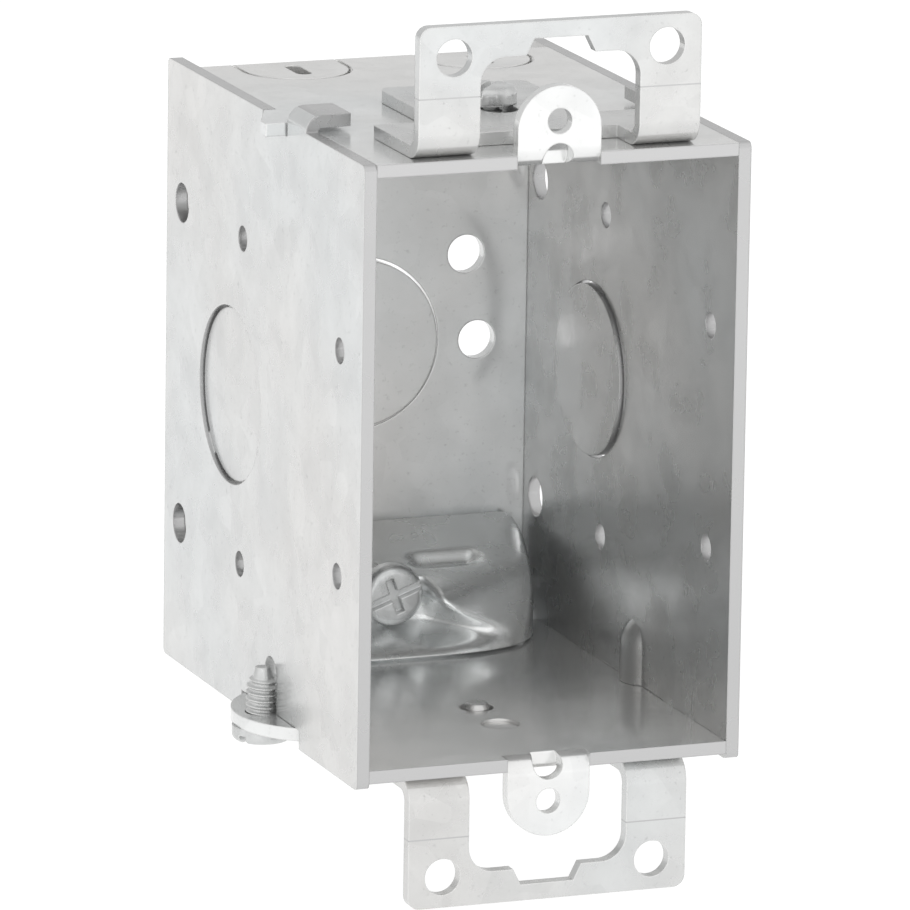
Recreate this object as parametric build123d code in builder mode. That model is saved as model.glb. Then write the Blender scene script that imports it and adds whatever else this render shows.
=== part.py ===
# Gangable steel switch box with plaster ears and two cable clamps
# Frame: X to the right, Y back into the wall, Z up, millimetres.
# The origin is the middle of the front opening, half way between the two device screw holes.
import os
from math import radians, tan

from build123d import *

os.makedirs("parts", exist_ok=True)

# Folded box strip
gang_width = 46.04
box_height = 75.4
box_depth = 69.85
sheet = 1.6
rear_bevel_depth = 6.65
rear_bevel_drop = 5.2
strip_bend = 2.4

# Device tabs at the front, with their holes 3 9/32 in apart
device_rise = 3.97
device_spacing = box_height + 2 * device_rise
device_hole_radius = 1.55
tab_width = 10.6
tab_round_drop = 1.0
tab_bend = 2.4
tab_relief_radius = 1.9
tab_relief_drop = 0.6

# Screws, number 8 thread drawn at its outside size
thread_radius = 2.08
thread_clearance = 0.04
slot_width = 1.1
slot_depth = 1.0

# Plaster ears
ear_width = 35.8
ear_reach = 16.1
ear_bend = 3.0
ear_lift = 0.05
ear_corner = 1.5
ear_hole_spacing = 27.0
ear_hole_radius = 2.25
ear_hole_inset = 3.8
ear_window_width = 20.3
ear_window_inset = 4.0
ear_step_inset = 2.0
ear_step_width = 6.8
ear_step_slant = 1.0
ear_window_round = 3.2
ear_window_depth = 7.0
ear_foot_depth = 15.0
ear_tongue_width = 19.0
ear_tongue_depth = 36.0
ear_slot_front = 17.4
ear_slot_back = ear_tongue_depth - 2.6
ear_slot_clearance = 0.17
ear_screw_depth = 24.3
ear_screw_head_radius = 3.7
ear_screw_head_height = 2.1
ear_screw_tail = 0.6
ear_screw_gap = 0.05

# Side plates
plate_drop = 0.7
plate_corner = 0.8
plate_fit = 0.05
nail_hole_radius = 2.5
nail_hole_inset = 5.65
nail_row = 20.4
small_hole_radius = 1.6
small_hole_depth = 42.0
front_hole_depth = 7.7
front_hole_row = 13.8

# Hook on each plate and the lug of the strip behind it
hook_depth = 20.2
hook_width = 6.4
hook_reach = 5.7
hook_lift = 0.55
hook_bend = 0.5
lug_gap = 0.4
lug_reach = 2.6
lug_length = 8.0
lug_flat = 1.8

# Side screws and the tabs of the strip that carry them
side_screw_depth = 30.5
side_screw_offset = 1.0
side_screw_head_radius = 3.7
side_screw_head_height = 1.9
side_screw_length = 7.2
side_screw_taper = 2.4
side_tab_radius = 11.4
side_tab_reach = 4.4
side_tab_clearance = 0.3
pocket_clearance = 0.37
pocket_top = 4.6

# Knock-outs for half inch fittings
knockout_radius = 11.1
knockout_slit = 0.35
knockout_push = 0.55
knockout_tie = 3.0
side_knockout_inset = 23.75

# Pry-outs over the cable clamps
pry_offset = 12.0
pry_width = 14.0
pry_front_inset = 18.6
pry_back_inset = 2.9
pry_slit = 0.5
pry_slot_length = 6.0
pry_slot_width = 2.0
pry_slot_inset = 12.4

# Screw holes through the back wall
back_hole_radius = 2.45
back_hole_places = ((14.7, 10.6), (16.3, -0.5))

# Shallow round mark on the top and bottom walls
wall_dimple_depth = 16.0
wall_dimple_radius = 2.4
wall_dimple_sink = 0.35

# Cable clamps
clamp_sheet = 1.5
clamp_side_gap = 1.6
clamp_wall_gap = 1.85
clamp_bevel_gap = 1.3
clamp_edge_drop = 13.5
clamp_seat_inset = 13.2
clamp_fold_ahead = 6.85
clamp_fold_drop = 6.2
clamp_rim_gap = 0.35
clamp_corner = 11.0
clamp_draw = 3.4
clamp_draw_start = 3.0
clamp_bend = 3.8
clamp_screw_drop = 7.1
clamp_screw_head_radius = 3.95
clamp_screw_head_height = 2.3
clamp_screw_length = 20.4
clamp_valley_clear = 0.6
clamp_valley_slant = 30.0
bead_radius = 1.7
bead_groove = 0.7
bead_start = 6.6
bead_length = 4.4
bead_ahead = 2.0

# Places worked out from the sizes above
half_width = gang_width / 2
outer_half = half_width + sheet
wall_top = box_height / 2
wall_under = wall_top - sheet
back_face = box_depth
back_inner = box_depth - sheet
hole_radius = thread_radius + thread_clearance
side_screw_x = outer_half + side_screw_offset
ear_top = wall_top + ear_reach
ear_underside = wall_top + ear_lift
clamp_seat = back_inner - clamp_seat_inset
clamp_screw_level = wall_under - clamp_screw_drop


def corner_cutter(x, y, radius, toward_x, toward_y):
    """Sketch of what rounding a corner at x, y takes away."""
    middle = (x - toward_x * radius, y - toward_y * radius)
    with Locations(((x + middle[0]) / 2 + toward_x / 2, (y + middle[1]) / 2 + toward_y / 2)):
        Rectangle(radius + 1, radius + 1)
    with Locations(middle):
        Circle(radius, mode=Mode.SUBTRACT)


def machine_screw(seat, head_radius, head_height, length, taper=0.6, cross=False):
    """Slotted pan head screw: its head stands on the plane, its shank hangs below."""
    with BuildPart(seat) as screw:
        Cylinder(head_radius, head_height, align=(Align.CENTER, Align.CENTER, Align.MIN))
        fillet(screw.edges().group_by(Axis(seat.origin, seat.z_dir))[-1], head_height * 0.45)
        Cylinder(thread_radius, length, align=(Align.CENTER, Align.CENTER, Align.MAX))
        chamfer(screw.edges().group_by(Axis(seat.origin, seat.z_dir))[0], taper, taper * 0.42)
        with BuildSketch(seat.offset(head_height - slot_depth)):
            Rectangle(head_radius * 2 + 1, slot_width)
            if cross:
                Rectangle(slot_width, head_radius * 1.15)
        extrude(amount=slot_depth + 1, mode=Mode.SUBTRACT)
    return screw.part


# Box strip: top, back and bottom in one folded sheet
with BuildPart() as box_body:
    with BuildSketch(Plane.YZ):
        with BuildLine():
            FilletPolyline(
                (0, wall_top),
                (back_face - rear_bevel_depth, wall_top),
                (back_face, wall_top - rear_bevel_drop),
                (back_face, rear_bevel_drop - wall_top),
                (back_face - rear_bevel_depth, -wall_top),
                (0, -wall_top),
                radius=strip_bend,
            )
            offset(amount=sheet, side=Side.RIGHT)
        make_face()
    extrude(amount=half_width, both=True)

    # Room at the front edge for the bend of each device tab
    with BuildSketch(Plane.XZ):
        with GridLocations(0, box_height, 1, 2):
            Rectangle(tab_width, sheet * 4)
    extrude(amount=-(tab_bend + 0.2), mode=Mode.SUBTRACT)

    # Device tabs, folded outward from the walls
    for level in (1, -1):
        with BuildSketch(Plane.YZ):
            with BuildLine():
                FilletPolyline(
                    (0, level * (device_spacing / 2 + tab_width)),
                    (0, level * wall_under),
                    (tab_bend + sheet, level * wall_under),
                    radius=tab_bend,
                )
                offset(amount=sheet, side=Side.LEFT if level > 0 else Side.RIGHT)
            make_face()
        extrude(amount=tab_width / 2, both=True)
        round_middle = level * (device_spacing / 2 - tab_round_drop)
        with BuildSketch(Plane.XZ):
            with Locations((0, round_middle + level * tab_width)):
                Rectangle(tab_width * 2, tab_width * 2)
            with Locations((0, round_middle)):
                Circle(tab_width / 2, mode=Mode.SUBTRACT)
        extrude(amount=tab_bend, both=True, mode=Mode.SUBTRACT)
        with BuildSketch(Plane.XZ):
            with Locations((0, level * device_spacing / 2)):
                Circle(device_hole_radius)
            with Locations((0, level * (wall_top - tab_relief_drop))):
                Circle(tab_relief_radius)
        extrude(amount=tab_bend, both=True, mode=Mode.SUBTRACT)

    # Tapped holes for the ear screws, one in each wall
    with BuildSketch(Plane.XY):
        with Locations((0, ear_screw_depth)):
            Circle(hole_radius)
    extrude(amount=box_height, both=True, mode=Mode.SUBTRACT)

    # Round marks on the inner faces, pressed a little way in
    for level in (1, -1):
        with Locations((0, wall_dimple_depth, level * wall_under)):
            Cylinder(wall_dimple_radius, wall_dimple_sink * 2, mode=Mode.SUBTRACT)

    # Half round tabs beside the bottom wall, with a tapped hole each
    with BuildSketch(Plane.XY.offset(-wall_top)):
        with GridLocations(2 * (outer_half + side_tab_reach - side_tab_radius), 0, 2, 1):
            with Locations((0, side_screw_depth)):
                Circle(side_tab_radius)
    extrude(amount=sheet)
    with BuildSketch(Plane.XY.offset(-wall_top)):
        with GridLocations(2 * side_screw_x, 0, 2, 1):
            with Locations((0, side_screw_depth)):
                Circle(hole_radius)
    extrude(amount=sheet, mode=Mode.SUBTRACT)

    # Lugs at the top edges, tapering back, one behind each plate hook
    lug_front = hook_depth + hook_width + lug_gap
    with BuildSketch(Plane.XY.offset(wall_under)):
        for side in (1, -1):
            with BuildLine():
                Polyline(
                    (side * (half_width - 1), lug_front),
                    (side * (outer_half + lug_reach), lug_front),
                    (side * (outer_half + lug_reach), lug_front + lug_flat),
                    (side * outer_half, lug_front + lug_length),
                    (side * (half_width - 1), lug_front + lug_length),
                    close=True,
                )
            make_face()
    extrude(amount=sheet)

    # Tapped holes for the clamp screws and the plain holes of the back wall
    with BuildSketch(Plane.XZ.offset(-back_face)):
        with GridLocations(0, 2 * clamp_screw_level, 1, 2):
            Circle(hole_radius)
        with Locations(*back_hole_places):
            Circle(back_hole_radius)
        Circle(knockout_radius)
    extrude(amount=sheet * 2, mode=Mode.SUBTRACT)

    # Back knock-out, pushed in a little and tied at one place
    with BuildSketch(Plane.XZ.offset(-(back_face - knockout_push))):
        Circle(knockout_radius - knockout_slit)
    extrude(amount=sheet)
    with BuildSketch(Plane.XZ.offset(-(back_face - knockout_push))):
        with Locations((0, -knockout_radius)):
            Rectangle(knockout_tie, 2.4)
    extrude(amount=sheet - knockout_push)

    # Pry-outs: a slit round three sides and a slot for the screwdriver
    pry_front = back_face - pry_front_inset
    pry_back = back_face - pry_back_inset
    pry_round = pry_width / 2
    with BuildSketch(Plane.XY):
        for side in (1, -1):
            with Locations((side * pry_offset, (pry_front + pry_round + pry_back) / 2)):
                Rectangle(pry_width, pry_back - pry_front - pry_round)
            with Locations((side * pry_offset, pry_front + pry_round)):
                Circle(pry_round)
            with Locations((side * pry_offset, (pry_front + pry_round + pry_back) / 2)):
                Rectangle(pry_width - 2 * pry_slit, pry_back - pry_front - pry_round, mode=Mode.SUBTRACT)
            with Locations((side * pry_offset, pry_front + pry_round)):
                Circle(pry_round - pry_slit, mode=Mode.SUBTRACT)
            with Locations((side * pry_offset, back_face - pry_slot_inset)):
                SlotOverall(pry_slot_length, pry_slot_width, rotation=90)
    extrude(amount=box_height, both=True, mode=Mode.SUBTRACT)
box_body.part.label = "box_body"


# Left side plate, with its hook, screw pocket and holes
def side_plate(tie_angle):
    """Plate on the left of the box; the right one is its mirror image."""
    plate_foot = -wall_top - plate_drop
    knock_y = box_depth - side_knockout_inset
    pocket_radius = thread_radius + pocket_clearance
    pocket_end = -wall_under + pocket_top
    with BuildPart() as plate:
        with BuildSketch(Plane.YZ.offset(-outer_half)):
            with Locations((box_depth / 2, (wall_top + plate_foot) / 2)):
                RectangleRounded(box_depth, wall_top - plate_foot, plate_corner)
        extrude(amount=sheet)

        # Pocket pressed inward round the side screw
        with Locations((-side_screw_x, side_screw_depth, plate_foot)):
            Cylinder(
                pocket_radius + sheet,
                pocket_end - plate_foot,
                align=(Align.CENTER, Align.CENTER, Align.MIN),
            )
        with Locations((-side_screw_x, side_screw_depth, pocket_end)):
            Sphere(pocket_radius + sheet)
        with BuildSketch(Plane.YZ.offset(-outer_half)):
            with Locations((side_screw_depth, plate_foot)):
                Rectangle(4 * pocket_radius + 4 * sheet, 2 * box_height)
        extrude(amount=-box_depth, mode=Mode.SUBTRACT)
        with Locations((-side_screw_x, side_screw_depth, plate_foot)):
            Cylinder(
                pocket_radius,
                pocket_end - plate_foot,
                align=(Align.CENTER, Align.CENTER, Align.MIN),
                mode=Mode.SUBTRACT,
            )
        with Locations((-side_screw_x, side_screw_depth, pocket_end)):
            Sphere(pocket_radius, mode=Mode.SUBTRACT)

        # Notches for the screw tab below and the lug above, and the holes
        tab_middle = outer_half + side_tab_reach - side_tab_radius
        tab_chord = (side_tab_radius**2 - (half_width - tab_middle) ** 2) ** 0.5
        notch_half = tab_chord + side_tab_clearance
        with BuildSketch(Plane.YZ.offset(-outer_half - 1)):
            with Locations((side_screw_depth, plate_foot)):
                Rectangle(2 * notch_half, 2 * (plate_drop + sheet + plate_fit))
            with Locations((hook_depth + hook_width + lug_gap + lug_length / 2, wall_top)):
                Rectangle(lug_length + 2 * lug_gap, 2 * (sheet + plate_fit))
            with GridLocations(0, 2 * nail_row, 1, 2):
                with Locations((box_depth - nail_hole_inset, 0)):
                    Circle(nail_hole_radius)
                with Locations((small_hole_depth, 0)):
                    Circle(small_hole_radius)
            with GridLocations(0, 2 * front_hole_row, 1, 2):
                with Locations((front_hole_depth, 0)):
                    Circle(small_hole_radius)
            with Locations((knock_y, 0)):
                Circle(knockout_radius)
        extrude(amount=sheet + 5, mode=Mode.SUBTRACT)

        # Knock-out disc, pushed in and tied at one place
        with BuildSketch(Plane.YZ.offset(-outer_half + knockout_push)):
            with Locations((knock_y, 0)):
                Circle(knockout_radius - knockout_slit)
        extrude(amount=sheet)
        with BuildSketch(Plane.YZ.offset(-outer_half + knockout_push)):
            with Locations((knock_y, 0)):
                with PolarLocations(knockout_radius, 1, start_angle=tie_angle):
                    Rectangle(2.4, knockout_tie)
        extrude(amount=sheet - knockout_push)

        # Hook folded over the top wall
        with BuildSketch(Plane.XZ.offset(-hook_depth)):
            with BuildLine():
                FilletPolyline(
                    (-outer_half, wall_under),
                    (-outer_half, wall_top + hook_lift + sheet),
                    (-outer_half + hook_reach, wall_top + hook_lift + sheet),
                    radius=hook_bend + sheet,
                )
                offset(amount=sheet, side=Side.RIGHT)
            make_face()
        extrude(amount=-hook_width)
    return plate.part


with BuildPart() as left_side_plate:
    add(side_plate(tie_angle=-45))
left_side_plate.part.label = "left_side_plate"

with BuildPart() as right_side_plate:
    mirror(side_plate(tie_angle=50), about=Plane.YZ)
right_side_plate.part.label = "right_side_plate"


# Upper ear: one bent plate with a window, two holes and a sliding slot
with BuildPart() as upper_ear:
    with BuildSketch(Plane.YZ):
        with BuildLine():
            FilletPolyline(
                (0, ear_top),
                (0, ear_underside),
                (ear_tongue_depth, ear_underside),
                radius=ear_bend,
            )
            offset(amount=sheet, side=Side.LEFT)
        make_face()
    extrude(amount=ear_width / 2, both=True)

    # Window, holes and round corners of the upright part
    window_half = ear_window_width / 2
    shoulder = ear_top - ear_window_inset
    with BuildSketch(Plane.XZ):
        with BuildLine():
            Polyline(
                (-window_half, wall_under),
                (-window_half, shoulder),
                (-ear_step_width / 2 - ear_step_slant, shoulder),
                (-ear_step_width / 2, ear_top - ear_step_inset),
                (ear_step_width / 2, ear_top - ear_step_inset),
                (ear_step_width / 2 + ear_step_slant, shoulder),
                (window_half, shoulder),
                (window_half, wall_under),
                close=True,
            )
        window = make_face()
        window_corners = window.vertices().filter_by(lambda v: abs(abs(v.X) - window_half) < 0.01)
        fillet(window_corners.sort_by(Axis.Z)[-2:], ear_window_round)
    extrude(amount=-ear_window_depth, mode=Mode.SUBTRACT)
    with BuildSketch(Plane.XZ):
        for side in (1, -1):
            corner_cutter(side * ear_width / 2, ear_top, ear_corner, side, 1)
    extrude(amount=-2 * sheet, mode=Mode.SUBTRACT)
    with BuildSketch(Plane.XZ):
        with Locations((0, ear_top - ear_hole_inset)):
            with GridLocations(ear_hole_spacing, 0, 2, 1):
                Circle(ear_hole_radius)
    extrude(amount=-2 * sheet, mode=Mode.SUBTRACT)

    # Foot narrowed to a tongue, with the slot for its screw
    slot_radius = thread_radius + ear_slot_clearance
    side_strip = (ear_width - ear_tongue_width) / 2
    with BuildSketch(Plane.XY.offset(wall_top)):
        for side in (1, -1):
            with Locations((side * (ear_tongue_width + side_strip) / 2, (ear_foot_depth + ear_tongue_depth) / 2)):
                Rectangle(side_strip, ear_tongue_depth - ear_foot_depth)
            corner_cutter(side * ear_tongue_width / 2, ear_tongue_depth, ear_corner, side, 1)
        with Locations((0, (ear_slot_front + ear_slot_back) / 2)):
            SlotOverall(ear_slot_back - ear_slot_front, 2 * slot_radius, rotation=90)
    extrude(amount=2 * sheet, mode=Mode.SUBTRACT)
upper_ear.part.label = "upper_ear"

with BuildPart() as lower_ear:
    add(upper_ear.part, rotation=(0, 180, 0))
lower_ear.part.label = "lower_ear"


# Lines that the cable clamp follows, seen from the side
clamp_half = half_width - clamp_side_gap
edge_y = back_inner - clamp_wall_gap
edge_z = wall_under - clamp_edge_drop
fold_y = clamp_seat - clamp_fold_ahead
fold_z = wall_under - clamp_fold_drop
rim_z = wall_under - clamp_rim_gap
slope = (fold_z - edge_z) / (fold_y - edge_y)


def clamp_block(inset):
    """Rounded block with the valley for the screw head; an inset makes it as small as the hollow."""
    rear_y = back_face + 2 * clamp_sheet
    with BuildPart() as block:
        with BuildSketch(Plane.YZ):
            with BuildLine():
                Polyline(
                    (rear_y, box_height),
                    (rear_y, edge_z + slope * (rear_y - edge_y)),
                    (fold_y, fold_z),
                    (fold_y, box_height),
                    close=True,
                )
            make_face()
            if inset:
                offset(amount=-inset, kind=Kind.INTERSECTION)
        extrude(amount=clamp_half, both=True)
        with BuildSketch(Plane.XY):
            with BuildLine():
                Polyline(
                    (-clamp_half, 2 * back_face),
                    (-clamp_half, edge_y - clamp_draw_start),
                    (clamp_draw - clamp_half, fold_y),
                    (clamp_half - clamp_draw, fold_y),
                    (clamp_half, edge_y - clamp_draw_start),
                    (clamp_half, 2 * back_face),
                    close=True,
                )
            plan = make_face()
            fillet(plan.vertices().group_by(Axis.Y)[0], clamp_corner)
            if inset:
                offset(amount=-inset)
        extrude(amount=2 * box_height, mode=Mode.INTERSECT)
        sloping_face = block.faces().sort_by(Axis.Z)[0]
        fillet(sloping_face.edges().sort_by(Axis.Y)[:-1], clamp_bend - inset)

        # The valley opens from the seat of the screw head towards the front
        valley_radius = clamp_screw_head_radius + clamp_valley_clear
        wall_spread = tan(radians(45 - clamp_valley_slant / 2))
        with BuildSketch(Plane.XZ.offset(-clamp_seat - inset)):
            with Locations((0, clamp_screw_level)):
                Circle(valley_radius + inset * wall_spread)
        extrude(amount=clamp_fold_ahead + inset + 1, taper=-clamp_valley_slant, mode=Mode.SUBTRACT)
    return block.part


# Upper cable clamp: a drawn shell, open at the back and at the rim
with BuildPart() as upper_clamp:
    add(clamp_block(0))
    bevel_length = (rear_bevel_depth**2 + rear_bevel_drop**2) ** 0.5
    bevel_y = rear_bevel_drop / bevel_length
    bevel_z = rear_bevel_depth / bevel_length
    bevel_reach = (back_face - rear_bevel_depth) * bevel_y + wall_top * bevel_z - sheet - clamp_bevel_gap
    with BuildSketch(Plane.YZ):
        with BuildLine():
            Polyline(
                ((bevel_reach - rim_z * bevel_z) / bevel_y, rim_z),
                (edge_y, (bevel_reach - edge_y * bevel_y) / bevel_z),
                (edge_y, 0),
                (0, 0),
                (0, rim_z),
                close=True,
            )
        make_face()
    extrude(amount=gang_width, both=True, mode=Mode.INTERSECT)
    add(clamp_block(clamp_sheet), mode=Mode.SUBTRACT)

    # Stiffening bead pressed up beside the valley on both sides
    bead_y = clamp_seat + bead_ahead
    bead_z = edge_z + slope * (bead_y - edge_y)
    for side in (1, -1):
        for radius, lift, mode in ((bead_radius, 0.6, Mode.ADD), (bead_groove, 1.5, Mode.SUBTRACT)):
            with BuildSketch(Plane.XY.offset(bead_z + lift)):
                with Locations((side * (bead_start + bead_length / 2), bead_y)):
                    SlotCenterToCenter(bead_length, 2 * radius)
                    Rectangle(
                        bead_length + 2 * radius,
                        2 * radius,
                        align=(Align.CENTER, Align.MIN),
                        mode=Mode.SUBTRACT,
                    )
            revolve(axis=Axis((0, bead_y, bead_z + lift), (1, 0, 0)), mode=mode)

    # Plain hole for the clamp screw
    with BuildSketch(Plane.XZ.offset(-clamp_seat + 1)):
        with Locations((0, clamp_screw_level)):
            Circle(hole_radius)
    extrude(amount=-clamp_seat_inset, mode=Mode.SUBTRACT)
upper_clamp.part.label = "upper_clamp"

with BuildPart() as lower_clamp:
    add(upper_clamp.part, rotation=(0, 180, 0))
lower_clamp.part.label = "lower_clamp"


# Screws of the clamps, the ears and the side plates
with BuildPart() as upper_clamp_screw:
    seat = Plane((0, clamp_seat, clamp_screw_level), x_dir=(1, 0, 0), z_dir=(0, -1, 0))
    add(machine_screw(seat, clamp_screw_head_radius, clamp_screw_head_height, clamp_screw_length, cross=True))
upper_clamp_screw.part.label = "upper_clamp_screw"

with BuildPart() as lower_clamp_screw:
    seat = Plane((0, clamp_seat, -clamp_screw_level), x_dir=(1, 0, 0), z_dir=(0, -1, 0))
    add(machine_screw(seat, clamp_screw_head_radius, clamp_screw_head_height, clamp_screw_length, cross=True))
lower_clamp_screw.part.label = "lower_clamp_screw"

ear_screw_seat = ear_underside + sheet + ear_screw_gap
ear_screw_length = ear_screw_seat - wall_under + ear_screw_tail
with BuildPart() as upper_ear_screw:
    seat = Plane((0, ear_screw_depth, ear_screw_seat), x_dir=(1, 0, 0), z_dir=(0, 0, 1))
    add(machine_screw(seat, ear_screw_head_radius, ear_screw_head_height, ear_screw_length))
upper_ear_screw.part.label = "upper_ear_screw"

with BuildPart() as lower_ear_screw:
    add(upper_ear_screw.part, rotation=(0, 180, 0))
lower_ear_screw.part.label = "lower_ear_screw"

with BuildPart() as left_side_screw:
    seat = Plane((-side_screw_x, side_screw_depth, -wall_top), x_dir=(1, 0, 0), z_dir=(0, 0, -1))
    add(
        machine_screw(
            seat, side_screw_head_radius, side_screw_head_height, side_screw_length, side_screw_taper
        )
    )
left_side_screw.part.label = "left_side_screw"

with BuildPart() as right_side_screw:
    mirror(left_side_screw.part, about=Plane.YZ)
right_side_screw.part.label = "right_side_screw"


pieces = (
    box_body,
    left_side_plate,
    right_side_plate,
    upper_ear,
    lower_ear,
    upper_clamp,
    lower_clamp,
    upper_clamp_screw,
    lower_clamp_screw,
    upper_ear_screw,
    lower_ear_screw,
    left_side_screw,
    right_side_screw,
)
for piece in pieces:
    export_step(piece.part, f"parts/{piece.part.label}.step")
    print(piece.part.label, len(piece.part.solids()), round(piece.part.volume, 1))
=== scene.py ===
# %% [markdown]
# # A steel switch box, dressed in Blender
# The folded sheets, ears, clamps and screws come from the imported CAD model, in metres and in place.
# This lesson gives each of them the zinc finish of the real box, cuts real threads on the screws and
# sets the light and the camera.

import math

import bmesh
import bpy
from mathutils import Matrix, Vector


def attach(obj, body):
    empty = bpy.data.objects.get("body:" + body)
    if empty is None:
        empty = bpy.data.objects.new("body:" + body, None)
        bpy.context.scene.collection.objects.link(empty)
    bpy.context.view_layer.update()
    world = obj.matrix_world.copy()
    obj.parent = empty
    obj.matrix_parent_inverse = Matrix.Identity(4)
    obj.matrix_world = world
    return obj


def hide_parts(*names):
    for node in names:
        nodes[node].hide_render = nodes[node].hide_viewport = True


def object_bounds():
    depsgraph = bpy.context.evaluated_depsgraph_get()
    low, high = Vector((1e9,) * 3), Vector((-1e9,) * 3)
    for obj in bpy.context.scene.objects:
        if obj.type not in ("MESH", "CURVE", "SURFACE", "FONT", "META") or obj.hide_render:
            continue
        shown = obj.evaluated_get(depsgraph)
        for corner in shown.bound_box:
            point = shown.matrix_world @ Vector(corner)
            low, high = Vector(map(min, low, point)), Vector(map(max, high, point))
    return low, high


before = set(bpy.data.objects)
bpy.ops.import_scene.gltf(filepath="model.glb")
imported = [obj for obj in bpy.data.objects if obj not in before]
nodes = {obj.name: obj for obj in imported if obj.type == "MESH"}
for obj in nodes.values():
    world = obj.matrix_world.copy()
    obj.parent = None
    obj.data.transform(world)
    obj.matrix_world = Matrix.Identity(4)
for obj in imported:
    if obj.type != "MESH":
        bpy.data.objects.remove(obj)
cad_low, cad_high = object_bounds()
print("pieces of the CAD model:", len(nodes))

# %% [markdown]
# ## Camera
# The photograph was taken from the front, a little from the left and above, with a long lens. The
# camera could be placed by eye, but a view worked out from the corners of the box is nearer. Its
# matrix has the picture's right, up and backward directions as columns.

# %% Camera at the photograph's angle
view_right = Vector((0.934075, -0.356770, 0.014792))
view_up = Vector((0.068701, 0.220212, 0.973030))
view_back = Vector((-0.350405, -0.907867, 0.230205))
camera_data = bpy.data.cameras.new("photo_camera")
camera_data.sensor_fit = "HORIZONTAL"
camera_data.sensor_width = 36.0
camera_data.lens = 393.2
camera_data.clip_start = 0.05
camera_data.clip_end = 20.0
camera = bpy.data.objects.new("photo_camera", camera_data)
bpy.context.scene.collection.objects.link(camera)
turn = Matrix((view_right, view_up, view_back)).transposed().to_4x4()
camera.matrix_world = Matrix.Translation((-0.4263, -1.0716, 0.2737)) @ turn
bpy.context.scene.camera = camera
print("camera stands", round(camera.location.length, 3), "m from the middle of the opening")

# %% [markdown]
# ## Galvanised sheet
# Hot zinc leaves a skin of soft crystals on steel. It is bright but not even: cloudy grey patches a few
# millimetres wide, a very fine grain, slightly wavy reflections and greyer bare steel where the sheet was
# sheared. The pale rims along every edge are a painted highlight, partly edge wear. A picture of such a
# sheet would slide and stretch, so noise and cell patterns in the object's own coordinates make all of it.
# Sizes are in patterns per metre, since the box is in real metres. Each kind of piece has its own tone,
# tuned
# until the render came near the photograph under this light, so the differences are painted light and shade:
# the right plate is painted darker for the shade inside the box and the clamps lighter. On the real box the
# skin is likely to be much the same on all of them.


# %% Small helpers for shader nodes
def shader_node(tree, kind, **values):
    node = tree.nodes.new(kind)
    for name, value in values.items():
        if name in node.inputs:
            node.inputs[name].default_value = value
        else:
            setattr(node, name, value)
    return node


def ramp(tree, source, stops):
    node = tree.nodes.new("ShaderNodeValToRGB")
    elements = node.color_ramp.elements
    while len(elements) < len(stops):
        elements.new(0.5)
    for element, (place, grey) in zip(elements, stops):
        element.position = place
        element.color = (grey, grey, grey, 1) if isinstance(grey, float) else (*grey, 1)
    tree.links.new(source, node.inputs["Fac"])
    return node.outputs["Color"]


def blend_colours(tree, amount, first, second, way="MIX"):
    node = tree.nodes.new("ShaderNodeMix")
    node.data_type = "RGBA"
    node.blend_type = way
    for socket, value in ((0, amount), (6, first), (7, second)):
        if isinstance(value, bpy.types.NodeSocket):
            tree.links.new(value, node.inputs[socket])
        else:
            node.inputs[socket].default_value = value
    return node.outputs[2]


def along_axis(tree, place, axis):
    parts = tree.nodes.new("ShaderNodeSeparateXYZ")
    tree.links.new(place, parts.inputs["Vector"])
    return parts.outputs[axis]


def math_node(tree, operation, *values):
    node = shader_node(tree, "ShaderNodeMath", operation=operation)
    for socket, value in zip(node.inputs, values):
        if isinstance(value, bpy.types.NodeSocket):
            tree.links.new(value, socket)
        else:
            socket.default_value = value
    return node.outputs[0]


def map_range(tree, source, low, high, low_value, high_value):
    node = tree.nodes.new("ShaderNodeMapRange")
    tree.links.new(source, node.inputs["Value"])
    sockets = ("From Min", "From Max", "To Min", "To Max")
    for socket, value in zip(sockets, (low, high, low_value, high_value)):
        node.inputs[socket].default_value = value
    return node.outputs["Result"]


# %% Masks for painted crease shade and sheared edges
CREASE_SHADE_HALF_LINE = 0.00009
EDGE_FACING = 0.4
FRONT_EDGE_Y = 0.0001
WALL_HALF_HEIGHT = 0.0377


def crease_shade_line(tree, place, level):
    """White where the height above or below the middle is at the level, black elsewhere: the line where
    shade is painted along a crease.
    """
    height = math_node(tree, "ABSOLUTE", along_axis(tree, place, "Z"))
    return math_node(tree, "COMPARE", height, level, CREASE_SHADE_HALF_LINE)


def sheared_edges(tree, kind):
    """White on faces where the sheet was sheared or punched: bare steel, greyer than the zinc."""
    coordinates = tree.nodes.new("ShaderNodeTexCoord")
    if kind == "plate":
        sideways = math_node(tree, "ABSOLUTE", along_axis(tree, coordinates.outputs["Normal"], "X"))
        return math_node(tree, "LESS_THAN", sideways, EDGE_FACING)
    place = coordinates.outputs["Object"]
    in_front = math_node(tree, "LESS_THAN", along_axis(tree, place, "Y"), FRONT_EDGE_Y)
    height = math_node(tree, "ABSOLUTE", along_axis(tree, place, "Z"))
    between_walls = math_node(tree, "LESS_THAN", height, WALL_HALF_HEIGHT)
    return math_node(tree, "MULTIPLY", in_front, between_walls)


# %% Patterns and colour of zinc
RIM_HIGHLIGHT_AND_WEAR_GREY = (0.80, 0.80, 0.79, 1)
# Grey of bare sheared steel, also used as painted shade along the ear's crease.
SHEARED_AND_CREASE_SHADE_GREY = (0.48, 0.48, 0.48, 1)
BLUISH, YELLOWISH = (0.97, 1.0, 1.0), (1.0, 0.99, 0.965)
WAVES_A_METRE, TINTS_A_METRE = 46.0, 26.0


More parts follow.
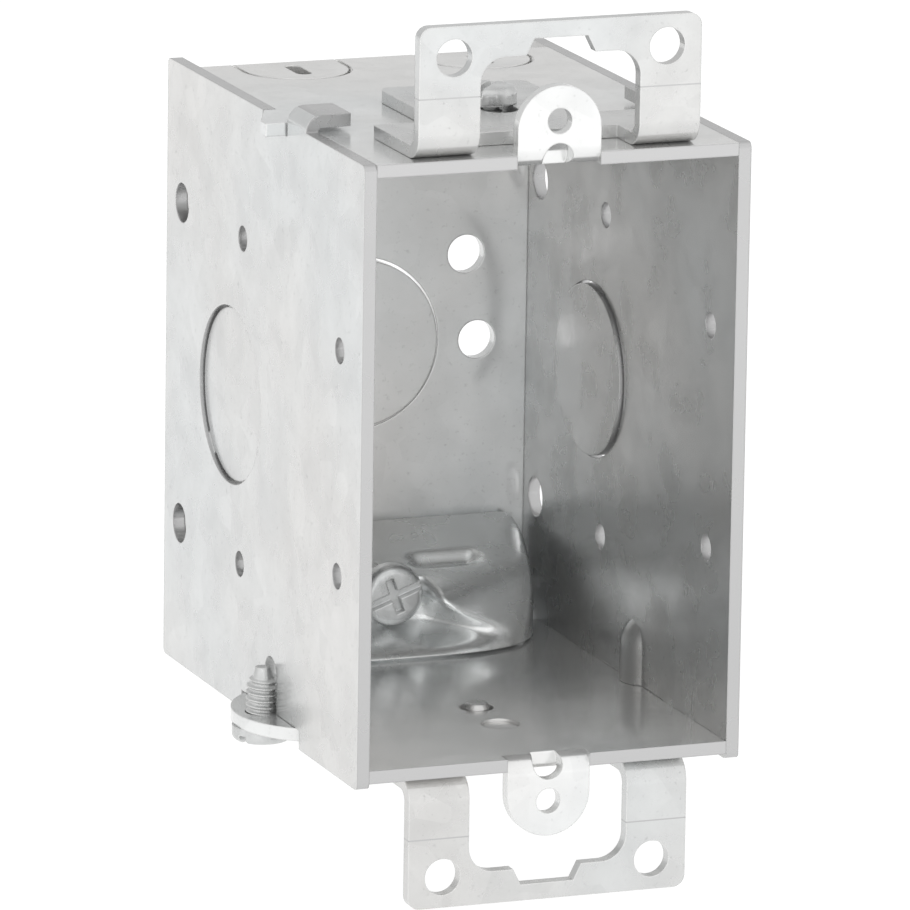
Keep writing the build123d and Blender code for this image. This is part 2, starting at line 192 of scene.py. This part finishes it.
def zinc_patterns(tree, place, cloud_scale):
    noise, cells = "ShaderNodeTexNoise", "ShaderNodeTexVoronoi"
    patterns = {
        "clouds": shader_node(tree, noise, Scale=cloud_scale, Detail=3.0, Roughness=0.55),
        "grain": shader_node(tree, noise, Scale=cloud_scale * 9, Detail=3.0, Roughness=0.7),
        "crystals": shader_node(tree, cells, Scale=cloud_scale * 1.7, Randomness=1.0),
        "waves": shader_node(tree, noise, Scale=WAVES_A_METRE, Detail=1.0, Roughness=0.4),
        "tints": shader_node(tree, noise, Scale=TINTS_A_METRE, Detail=2.0),
    }
    for texture in patterns.values():
        tree.links.new(place, texture.inputs["Vector"])
    return patterns


def zinc_colour(tree, patterns, greys):
    base = ramp(tree, patterns["clouds"].outputs["Fac"], ((0.28, greys[0]), (0.72, greys[1])))
    crystal_grey = ramp(tree, patterns["crystals"].outputs["Color"], ((0.0, 0.91), (1.0, 1.0)))
    base = blend_colours(tree, 0.8, base, crystal_grey, "MULTIPLY")
    tint = ramp(tree, patterns["tints"].outputs["Fac"], ((0.38, BLUISH), (0.62, YELLOWISH)))
    base = blend_colours(tree, 0.6, base, tint, "MULTIPLY")
    specks = ramp(tree, patterns["grain"].outputs["Fac"], ((0.26, 0.80), (0.40, 1.0)))
    return blend_colours(tree, 1.0, base, specks, "MULTIPLY")


# %% Painted highlight and wear on the rims, and bumps of zinc
ROUNDED_EDGE = 0.00028
GRAIN_STRENGTH, GRAIN_HEIGHT = 0.25, 0.00003


def rim_highlight_and_wear(tree, base, rounded):
    """Pale where the rounded normal turns away from the face's own, which is along the edges: a painted
    highlight, partly edge wear.
    """
    geometry = tree.nodes.new("ShaderNodeNewGeometry")
    facing = shader_node(tree, "ShaderNodeVectorMath", operation="DOT_PRODUCT")
    tree.links.new(rounded, facing.inputs[0])
    tree.links.new(geometry.outputs["Normal"], facing.inputs[1])
    rim = ramp(tree, facing.outputs["Value"], ((0.80, 1.0), (0.985, 0.0)))
    return blend_colours(tree, rim, base, RIM_HIGHLIGHT_AND_WEAR_GREY)


def zinc_bumps(tree, patterns, rounded, wave):
    normal = rounded
    for pattern, strength, height in (("grain", GRAIN_STRENGTH, GRAIN_HEIGHT), ("waves", 1.0, wave)):
        bump = shader_node(tree, "ShaderNodeBump", Strength=strength, Distance=height)
        tree.links.new(patterns[pattern].outputs["Fac"], bump.inputs["Height"])
        tree.links.new(normal, bump.inputs["Normal"])
        normal = bump.outputs["Normal"]
    return normal


# %% Zinc skin for sheet pieces and screws
def zinc_finish(name, greys, cloud_scale, rough_range, wave, metal, sheared=None, shaded_crease_level=None):
    material = bpy.data.materials.new(name)
    material.use_nodes = True
    tree = material.node_tree
    shader = tree.nodes["Principled BSDF"]
    shader.inputs["Metallic"].default_value = metal
    place = tree.nodes.new("ShaderNodeTexCoord").outputs["Object"]
    patterns = zinc_patterns(tree, place, cloud_scale)
    rounded = shader_node(tree, "ShaderNodeBevel", samples=6, Radius=ROUNDED_EDGE).outputs["Normal"]

    # Pale rims: painted highlight along the edges, partly edge wear.
    base = rim_highlight_and_wear(tree, zinc_colour(tree, patterns, greys), rounded)
    if shaded_crease_level:
        # A grey line painted along the ear's crease: painted shade.
        base = blend_colours(tree, crease_shade_line(tree, place, shaded_crease_level), base, SHEARED_AND_CREASE_SHADE_GREY)
    if sheared:
        base = blend_colours(tree, sheared_edges(tree, sheared), base, SHEARED_AND_CREASE_SHADE_GREY)
    tree.links.new(base, shader.inputs["Base Color"])

    smooth, dull = rough_range
    rough = map_range(tree, patterns["clouds"].outputs["Fac"], 0.3, 0.7, dull, smooth)
    tree.links.new(rough, shader.inputs["Roughness"])
    tree.links.new(zinc_bumps(tree, patterns, rounded, wave), shader.inputs["Normal"])
    return material


# %% A zinc for each kind of piece, whose tones carry painted light and shade
EAR_CREASE_Z = 0.0452
strip_zinc = zinc_finish(
    "strip_zinc", (0.72, 0.80), 150.0, (0.14, 0.24), wave=0.00025, metal=0.70, sheared="strip"
)
left_zinc = zinc_finish(
    "left_zinc", (0.64, 0.70), 150.0, (0.20, 0.32), wave=0.0003, metal=0.80, sheared="plate"
)
# Darker grey: painted shade for the inside of the box.
right_zinc_painted_shade = zinc_finish(
    "right_zinc_painted_shade", (0.46, 0.54), 150.0, (0.20, 0.32), wave=0.0003, metal=0.80, sheared="plate"
)
ear_zinc = zinc_finish(
    "ear_zinc", (0.60, 0.66), 170.0, (0.20, 0.32), wave=0.0003, metal=0.80, shaded_crease_level=EAR_CREASE_Z
)
# Lighter grey: painted light on the clamps.
clamp_zinc_painted_light = zinc_finish("clamp_zinc_painted_light", (0.82, 0.90), 170.0, (0.20, 0.32), wave=0.0002, metal=0.85)
screw_zinc = zinc_finish("screw_zinc", (0.54, 0.68), 500.0, (0.16, 0.30), wave=0.0001, metal=0.80)
print("finishes made:", [m.name for m in bpy.data.materials if "zinc" in m.name])

# %% Give every CAD piece its finish
finishes = {
    "box_body": strip_zinc,
    "left_side_plate": left_zinc,
    "right_side_plate": right_zinc_painted_shade,
    "upper_ear": ear_zinc,
    "lower_ear": ear_zinc,
    "upper_clamp": clamp_zinc_painted_light,
    "lower_clamp": clamp_zinc_painted_light,
}
for node_name, piece in nodes.items():
    piece.data.materials.clear()
    piece.data.materials.append(finishes.get(node_name, screw_zinc))
print("zinc on", len(nodes), "pieces")

# %% [markdown]
# ## Threaded screws
# The six screws are slotted pan heads with a number 8 thread, 32 turns to the inch. The CAD model draws
# them as plain cylinders at the thread's outside size. A bump map could fake the thread, but the side
# screw is seen from close by, so here the ridge is real: head and core are spun from one profile, and a
# small triangle is spun down the core with a step at each turn, as a lathe tool cuts it.

# %% Sizes of thread and head
THREAD_PITCH = 0.0254 / 32
THREAD_CREST = 0.00206
THREAD_ROOT = 0.00160
RIDGE_HALF = THREAD_PITCH * 0.42
RIDGE_SINK = 0.00006
RIDGE_MARGIN = THREAD_PITCH * 0.6
RIDGE_LOST_AT_TIP = 0.8
STEPS_A_TURN = 32
HEAD_STEPS = 64
HEAD_ROUNDING = 0.45
SLOT_WIDTH = 0.0011
SLOT_DEPTH = 0.0010
CROSS_REACH = 0.575
THREAD_SHARP_DEGREES = 32
NEAR, TINY = 1e-6, 1e-7


# %% Head and core, spun from one profile
def spun_blank(head_radius, head_height, length, tip_length, tip_radius):
    blank = bmesh.new()
    corners = (
        (0, head_height),
        (head_radius, head_height),
        (head_radius, 0),
        (THREAD_ROOT, 0),
        (THREAD_ROOT, tip_length - length),
        (tip_radius, -length),
        (0, -length),
    )
    points = [blank.verts.new((radius, 0, level)) for radius, level in corners]
    for first, second in zip(points, points[1:]):
        blank.edges.new((first, second))
    bmesh.ops.spin(
        blank,
        geom=blank.verts[:] + blank.edges[:],
        cent=(0, 0, 0),
        axis=(0, 0, 1),
        angle=math.tau,
        steps=HEAD_STEPS,
        use_merge=True,
    )
    bmesh.ops.remove_doubles(blank, verts=blank.verts, dist=NEAR)

    def on_top_rim(vert):
        return vert.co.z > head_height - NEAR and vert.co.xy.length > head_radius - NEAR

    top_rim = [edge for edge in blank.edges if all(on_top_rim(vert) for vert in edge.verts)]
    bmesh.ops.bevel(
        blank,
        geom=top_rim,
        offset=head_height * HEAD_ROUNDING,
        segments=6,
        profile=0.5,
        affect="EDGES",
        material=-1,
    )
    return blank


# %% Slot and cross, sawn into the head
def cut_all(mesh, place, direction):
    everything = mesh.verts[:] + mesh.edges[:] + mesh.faces[:]
    bmesh.ops.bisect_plane(mesh, geom=everything, plane_co=place, plane_no=direction, dist=TINY)


def saw_slots(mesh, head_radius, head_height, cross):
    floor_level = head_height - SLOT_DEPTH
    half = SLOT_WIDTH / 2
    reach = head_radius * CROSS_REACH
    cut_all(mesh, (0, 0, floor_level), (0, 0, 1))
    for side in (-1, 1):
        cut_all(mesh, (0, side * half, 0), (0, 1, 0))
        if cross:
            cut_all(mesh, (side * half, 0, 0), (1, 0, 0))
            cut_all(mesh, (0, side * reach, 0), (0, 1, 0))

    def sawn_away(face):
        middle = face.calc_center_median()
        in_slot = abs(middle.y) < half
        in_cross = cross and abs(middle.x) < half and abs(middle.y) < reach
        return middle.z > floor_level + NEAR and (in_slot or in_cross)

    bmesh.ops.delete(mesh, geom=[f for f in mesh.faces if sawn_away(f)], context="FACES")
    rim = [edge for edge in mesh.edges if edge.is_boundary]
    walls = bmesh.ops.extrude_edge_only(mesh, edges=rim)["geom"]
    for vert in walls:
        if isinstance(vert, bmesh.types.BMVert):
            vert.co.z = floor_level
    bmesh.ops.remove_doubles(mesh, verts=mesh.verts, dist=NEAR)
    bmesh.ops.dissolve_degenerate(mesh, edges=mesh.edges, dist=TINY)
    bmesh.ops.holes_fill(mesh, edges=[edge for edge in mesh.edges if edge.is_boundary], sides=0)


# %% Thread ridge, spun down the core
def spun_thread(length, tip_length, tip_radius):
    ridge = bmesh.new()
    start = -RIDGE_MARGIN
    foot = THREAD_ROOT - RIDGE_SINK
    corners = ((foot, start + RIDGE_HALF), (THREAD_CREST, start), (foot, start - RIDGE_HALF))
    triangle = ridge.faces.new([ridge.verts.new((radius, 0, level)) for radius, level in corners])
    turns = int((length + start - RIDGE_MARGIN) / THREAD_PITCH)
    bmesh.ops.spin(
        ridge,
        geom=[triangle] + triangle.edges[:] + triangle.verts[:],
        cent=(0, 0, 0),
        axis=(0, 0, 1),
        dvec=(0, 0, -THREAD_PITCH / STEPS_A_TURN),
        angle=math.tau * turns,
        steps=turns * STEPS_A_TURN,
    )
    for vert in ridge.verts:
        into_tip = max(0.0, (tip_length - length - vert.co.z) / tip_length)
        if into_tip > 0:
            core = THREAD_ROOT + (tip_radius - THREAD_ROOT) * into_tip
            radius = core + (vert.co.xy.length - THREAD_ROOT) * (1 - into_tip * RIDGE_LOST_AT_TIP)
            vert.co.xy *= radius / vert.co.xy.length
    return ridge


# %% Turn a bmesh into a piece of the box
def finish_piece(mesh, name, material, body, node, sharp_degrees):
    bmesh.ops.recalc_face_normals(mesh, faces=mesh.faces)
    for face in mesh.faces:
        face.smooth = True
    data = bpy.data.meshes.new(name)
    mesh.to_mesh(data)
    mesh.free()
    data.set_sharp_from_angle(angle=math.radians(sharp_degrees))
    data.materials.append(material)
    piece = bpy.data.objects.new(name, data)
    bpy.context.scene.collection.objects.link(piece)
    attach(piece, body)
    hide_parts(node)
    return piece


def threaded_screw(name, place, head_way, slot_way, head, length, tip, body, cross=False):
    head_radius, head_height = head
    tip_length, tip_radius = tip
    screw = spun_blank(head_radius, head_height, length, tip_length, tip_radius)
    saw_slots(screw, head_radius, head_height, cross)
    ridge = spun_thread(length, tip_length, tip_radius)
    ridge_data = bpy.data.meshes.new(name + "_ridge")
    ridge.to_mesh(ridge_data)
    ridge.free()
    screw.from_mesh(ridge_data)
    bpy.data.meshes.remove(ridge_data)
    up, along = Vector(head_way), Vector(slot_way)
    turn_in = Matrix((along, up.cross(along), up)).transposed().to_4x4()
    bmesh.ops.transform(screw, verts=screw.verts, matrix=Matrix.Translation(place) @ turn_in)
    node = name.replace("threaded_", "")
    piece = finish_piece(screw, name, screw_zinc, body, node, THREAD_SHARP_DEGREES)
    print(name, "faces", len(piece.data.polygons), "size", [round(v * 1000, 1) for v in piece.dimensions])


# %% The six screws in their places
CLAMP_SEAT_Y, CLAMP_SCREW_Z = 0.05505, 0.029
CLAMP_HEAD, CLAMP_LENGTH, CLAMP_TIP = (0.00395, 0.0023), 0.0204, (0.0006, 0.00135)
EAR_SCREW_Y, EAR_SEAT_Z = 0.0243, 0.0394
EAR_HEAD, EAR_LENGTH, EAR_TIP = (0.0037, 0.0021), 0.0039, (0.0005, 0.00135)
SIDE_SCREW_X, SIDE_SCREW_Y, SIDE_SEAT_Z = 0.02562, 0.0305, -0.0377
SIDE_HEAD, SIDE_LENGTH, SIDE_TIP = (0.0037, 0.0019), 0.0072, (0.0024, 0.0009)
CLAMP_SLOT_TURN, EAR_SLOT_TURN, SIDE_SLOT_TURN = 0.35, 0.9, 0.5
for side, name in ((1, "upper"), (-1, "lower")):
    threaded_screw(
        f"threaded_{name}_clamp_screw",
        (0, CLAMP_SEAT_Y, side * CLAMP_SCREW_Z),
        (0, -1, 0),
        (math.cos(CLAMP_SLOT_TURN), 0, math.sin(CLAMP_SLOT_TURN)),
        CLAMP_HEAD,
        CLAMP_LENGTH,
        CLAMP_TIP,
        f"{name}_clamp",
        cross=True,
    )
    threaded_screw(
        f"threaded_{name}_ear_screw",
        (0, EAR_SCREW_Y, side * EAR_SEAT_Z),
        (0, 0, side),
        (math.cos(EAR_SLOT_TURN), math.sin(EAR_SLOT_TURN), 0),
        EAR_HEAD,
        EAR_LENGTH,
        EAR_TIP,
        f"{name}_ear_screw",
    )
for side, name in ((-1, "left"), (1, "right")):
    threaded_screw(
        f"threaded_{name}_side_screw",
        (side * SIDE_SCREW_X, SIDE_SCREW_Y, SIDE_SEAT_Z),
        (0, 0, -1),
        (math.cos(SIDE_SLOT_TURN), math.sin(SIDE_SLOT_TURN), 0),
        SIDE_HEAD,
        SIDE_LENGTH,
        SIDE_TIP,
        f"{name}_side_screw",
    )

# %% [markdown]
# ## Drawn cable clamps
# Each clamp is one blank drawn in a press: a slope that ends in a ridge, two front corners that lean
# back from the ridge to the rim, and a valley in the middle for the screw head. Nothing on it is crisp.
# So a block is cut to these planes, remeshed with small cells and relaxed until its edges are round.
# Its back and rim are cut open, the valley and the beads are pressed in, and it gets its thickness last.
# The valley is narrow at the screw head, then widens and runs out towards the rim.

# %% Planes of the clamp block, seen from its front and its right half
BLOCK_SIZE, BLOCK_MIDDLE = 0.1, (0, 0.0497, 0.0497)
CELL = 0.0005
RELAX_ROUNDS = 34
TO_TRIM = 0.005
CLAMP_WALL = 0.0015
CLAMP_SHARP_DEGREES = 50
SIDE_X = 0.02142
RIM_Z = 0.03575
REAR_Y = 0.0664
SLOPE_FOOT, SLOPE_WAY = (0, 0.0482, 0.0299), (0, -0.372, -0.928)
SKIRT_FOOT, SKIRT_WAY = (0, 0.0480, 0), (0, -1, 0)
RIDGE_FOOT, RIDGE_WAY = (0.0026, 0.0497, 0.0292), (0.24, -0.82, -0.52)
DRAFT_FOOT, DRAFT_WAY = (0.01802, 0.0482, 0), (0.976, -0.218, 0)
CORNER_MIDDLE, CORNER_RADIUS = Vector((0.0092, 0.0592, 0)), 0.011
CORNER_DEGREES = (-71, -51, -32)
BEVEL_FOOT, BEVEL_WAY = (0, 0.0664, 0.0338), (0, 0.616, 0.788)


# %% Cut, remesh and relax the block
def slice_off(mesh, foot, way, close=True):
    everything = mesh.verts[:] + mesh.edges[:] + mesh.faces[:]
    bmesh.ops.bisect_plane(
        mesh, geom=everything, plane_co=foot, plane_no=way, dist=TINY, clear_outer=True
    )
    if close:
        bmesh.ops.holes_fill(mesh, edges=[edge for edge in mesh.edges if edge.is_boundary], sides=0)


def relaxed_block():
    block = bmesh.new()
    bmesh.ops.create_cube(block, size=BLOCK_SIZE, matrix=Matrix.Translation(BLOCK_MIDDLE))
    slice_off(block, (0, REAR_Y + TO_TRIM, 0), (0, 1, 0))
    slice_off(block, (0, 0, RIM_Z + TO_TRIM), (0, 0, 1))
    slice_off(block, SLOPE_FOOT, SLOPE_WAY)
    slice_off(block, SKIRT_FOOT, SKIRT_WAY)
    for side in (1, -1):
        slice_off(block, (side * SIDE_X, 0, 0), (side, 0, 0))
        for foot, way in ((RIDGE_FOOT, RIDGE_WAY), (DRAFT_FOOT, DRAFT_WAY)):
            slice_off(block, (side * foot[0], *foot[1:]), (side * way[0], *way[1:]))
        for turn in CORNER_DEGREES:
            way = Vector((math.cos(math.radians(turn)), math.sin(math.radians(turn)), 0))
            foot = CORNER_MIDDLE + way * CORNER_RADIUS
            slice_off(block, (side * foot.x, foot.y, 0), (side * way.x, way.y, 0))
    data = bpy.data.meshes.new("clamp_block")
    block.to_mesh(data)
    block.free()
    blank = bpy.data.objects.new("clamp_block", data)
    bpy.context.scene.collection.objects.link(blank)
    cells = blank.modifiers.new("cells", "REMESH")
    cells.mode = "VOXEL"
    cells.voxel_size = CELL
    seen_now = bpy.context.evaluated_depsgraph_get()
    relaxed = bmesh.new()
    relaxed.from_mesh(bpy.data.meshes.new_from_object(blank.evaluated_get(seen_now)))
    bpy.data.objects.remove(blank)
    for relax_round in range(RELAX_ROUNDS):
        bmesh.ops.smooth_vert(
            relaxed, verts=relaxed.verts, factor=0.5, use_axis_x=True, use_axis_y=True, use_axis_z=True
        )
    rear, rim = ((0, REAR_Y, 0), (0, 1, 0)), ((0, 0, RIM_Z), (0, 0, 1))
    for foot, way in (rear, rim, (BEVEL_FOOT, BEVEL_WAY)):
        slice_off(relaxed, foot, way, close=False)
    return relaxed


# %% Press the valley and the two beads
VALLEY_HALF = 0.0042
VALLEY_SOFT, VALLEY_FAN = 0.0013, 0.0120
VALLEY_TURN_Z, VALLEY_RUN = 0.0325, 0.0072
BEAD_ENDS, BEAD_Y = (0.0052, 0.0118), 0.0581
BEAD_HALF, BEAD_DEPTH = 0.0021, 0.0012
SLOPE_STRETCH = 1.08


def soft_step(amount):
    amount = min(1.0, max(0.0, amount))
    return amount * amount * (3 - 2 * amount)


def press_features(mesh):
    slope_in = -Vector(SLOPE_WAY).normalized()
    for vert in mesh.verts:
        x, y, z = vert.co
        from_axis = math.hypot(x, min(0.0, z - CLAMP_SCREW_Z))
        run_out = soft_step((z - VALLEY_TURN_Z) / (RIM_Z - VALLEY_TURN_Z))
        valley_y = CLAMP_SEAT_Y - VALLEY_RUN * run_out
        if y < valley_y:
            below = soft_step((z - CLAMP_SCREW_Z) / (RIM_Z - CLAMP_SCREW_Z))
            wall = soft_step((from_axis - VALLEY_HALF) / (VALLEY_SOFT + VALLEY_FAN * below))
            vert.co.y = valley_y + (y - valley_y) * wall
        along = min(max(abs(x), BEAD_ENDS[0]), BEAD_ENDS[1])
        away = math.hypot(abs(x) - along, (y - BEAD_Y) * SLOPE_STRETCH)
        if away < BEAD_HALF and z < CLAMP_SCREW_Z:
            vert.co += slope_in * BEAD_DEPTH * soft_step(1 - away / BEAD_HALF)


# %% Both clamps, the lower one turned over
def clamp_shell(level_side):
    shell = relaxed_block()
    press_features(shell)
    bmesh.ops.smooth_vert(
        shell,
        verts=[v for v in shell.verts if not v.is_boundary],
        factor=0.5,
        use_axis_x=True,
        use_axis_y=True,
        use_axis_z=True,
    )
    if level_side < 0:
        bmesh.ops.scale(shell, verts=shell.verts, vec=(1, 1, -1))
        bmesh.ops.reverse_faces(shell, faces=shell.faces)
    bmesh.ops.solidify(shell, geom=shell.faces[:], thickness=CLAMP_WALL)
    return shell


for level_side, name in ((1, "upper"), (-1, "lower")):
    piece = finish_piece(
        clamp_shell(level_side),
        f"drawn_{name}_clamp",
        clamp_zinc_painted_light,
        f"{name}_clamp",
        f"{name}_clamp",
        CLAMP_SHARP_DEGREES,
    )
    print(piece.name, "faces", len(piece.data.polygons), [round(v * 1000, 2) for v in piece.dimensions])

# %% [markdown]
# ## Floor and light
# The product lies on a white table that is lit from below, as product pictures often are, so it throws
# no shadow. Metal shows what is around it. The table glows more far in front than near the box, and the
# room is white in front and greyer behind, which gives the top wall its deeper tone. One soft panel in
# front reaches into the box. The metal doesn't mirror it, because its hard patch would drown the walls.


# %% White table
TABLE_HALF, TABLE_GAP = 6.0, 0.0002
PAPER_GREY = (0.16, 0.16, 0.16, 1)
GLOW_NEAR, GLOW_FAR = 0.92, 1.12
NEAR_Y, FAR_Y = -0.10, -0.45
floor_mesh = bmesh.new()
bmesh.ops.create_grid(floor_mesh, x_segments=1, y_segments=1, size=TABLE_HALF)
bmesh.ops.translate(floor_mesh, verts=floor_mesh.verts, vec=(0, 0, cad_low.z - TABLE_GAP))
floor_data = bpy.data.meshes.new("white_table")
floor_mesh.to_mesh(floor_data)
floor_mesh.free()
floor = bpy.data.objects.new("white_table", floor_data)
bpy.context.scene.collection.objects.link(floor)
paper = bpy.data.materials.new("glowing_paper")
paper.use_nodes = True
paper_shader = paper.node_tree.nodes["Principled BSDF"]
paper_shader.inputs["Base Color"].default_value = PAPER_GREY
paper_shader.inputs["Roughness"].default_value = 1.0
paper_shader.inputs["Specular IOR Level"].default_value = 0.0
paper_shader.inputs["Emission Color"].default_value = (1, 1, 1, 1)
paper_place = paper.node_tree.nodes.new("ShaderNodeTexCoord").outputs["Object"]
glow_place = along_axis(paper.node_tree, paper_place, "Y")
glow = map_range(paper.node_tree, glow_place, FAR_Y, NEAR_Y, GLOW_FAR, GLOW_NEAR)
paper.node_tree.links.new(glow, paper_shader.inputs["Emission Strength"])
floor_data.materials.append(paper)


# %% Soft panel
PANEL_PLACE, PANEL_TARGET = (-0.55, -2.2, 0.35), (0, 0.03, 0)
PANEL_SIDE, PANEL_WATTS = 1.2, 36.0
panel_light = bpy.data.lights.new("front_panel", "AREA")
panel_light.shape = "RECTANGLE"
panel_light.size = panel_light.size_y = PANEL_SIDE
panel_light.energy = PANEL_WATTS
panel = bpy.data.objects.new("front_panel", panel_light)
panel.location = PANEL_PLACE
panel_aim = Vector(PANEL_TARGET) - Vector(PANEL_PLACE)
panel.rotation_euler = panel_aim.to_track_quat("-Z", "Y").to_euler()
panel.visible_glossy = False
bpy.context.scene.collection.objects.link(panel)

# %% White room
ROOM_FRONT, ROOM_BACK, ROOM_STRENGTH = 1.0, 0.66, 1.1
SEEN_WHITE = (1.1, 1.1, 1.1, 1)
room = bpy.data.worlds.new("white_room")
room.use_nodes = True
room_tree = room.node_tree
room_place = room_tree.nodes.new("ShaderNodeTexCoord").outputs["Generated"]
room_depth = map_range(room_tree, along_axis(room_tree, room_place, "Y"), -1.0, 1.0, 0.0, 1.0)
room_grey = ramp(room_tree, room_depth, ((0.35, ROOM_FRONT), (0.85, ROOM_BACK)))
seen = room_tree.nodes.new("ShaderNodeLightPath").outputs["Is Camera Ray"]
room_grey = blend_colours(room_tree, seen, room_grey, SEEN_WHITE)
room_tree.links.new(room_grey, room_tree.nodes["Background"].inputs["Color"])
room_tree.nodes["Background"].inputs["Strength"].default_value = ROOM_STRENGTH
bpy.context.scene.world = room
bpy.context.scene.view_settings.view_transform = "Standard"
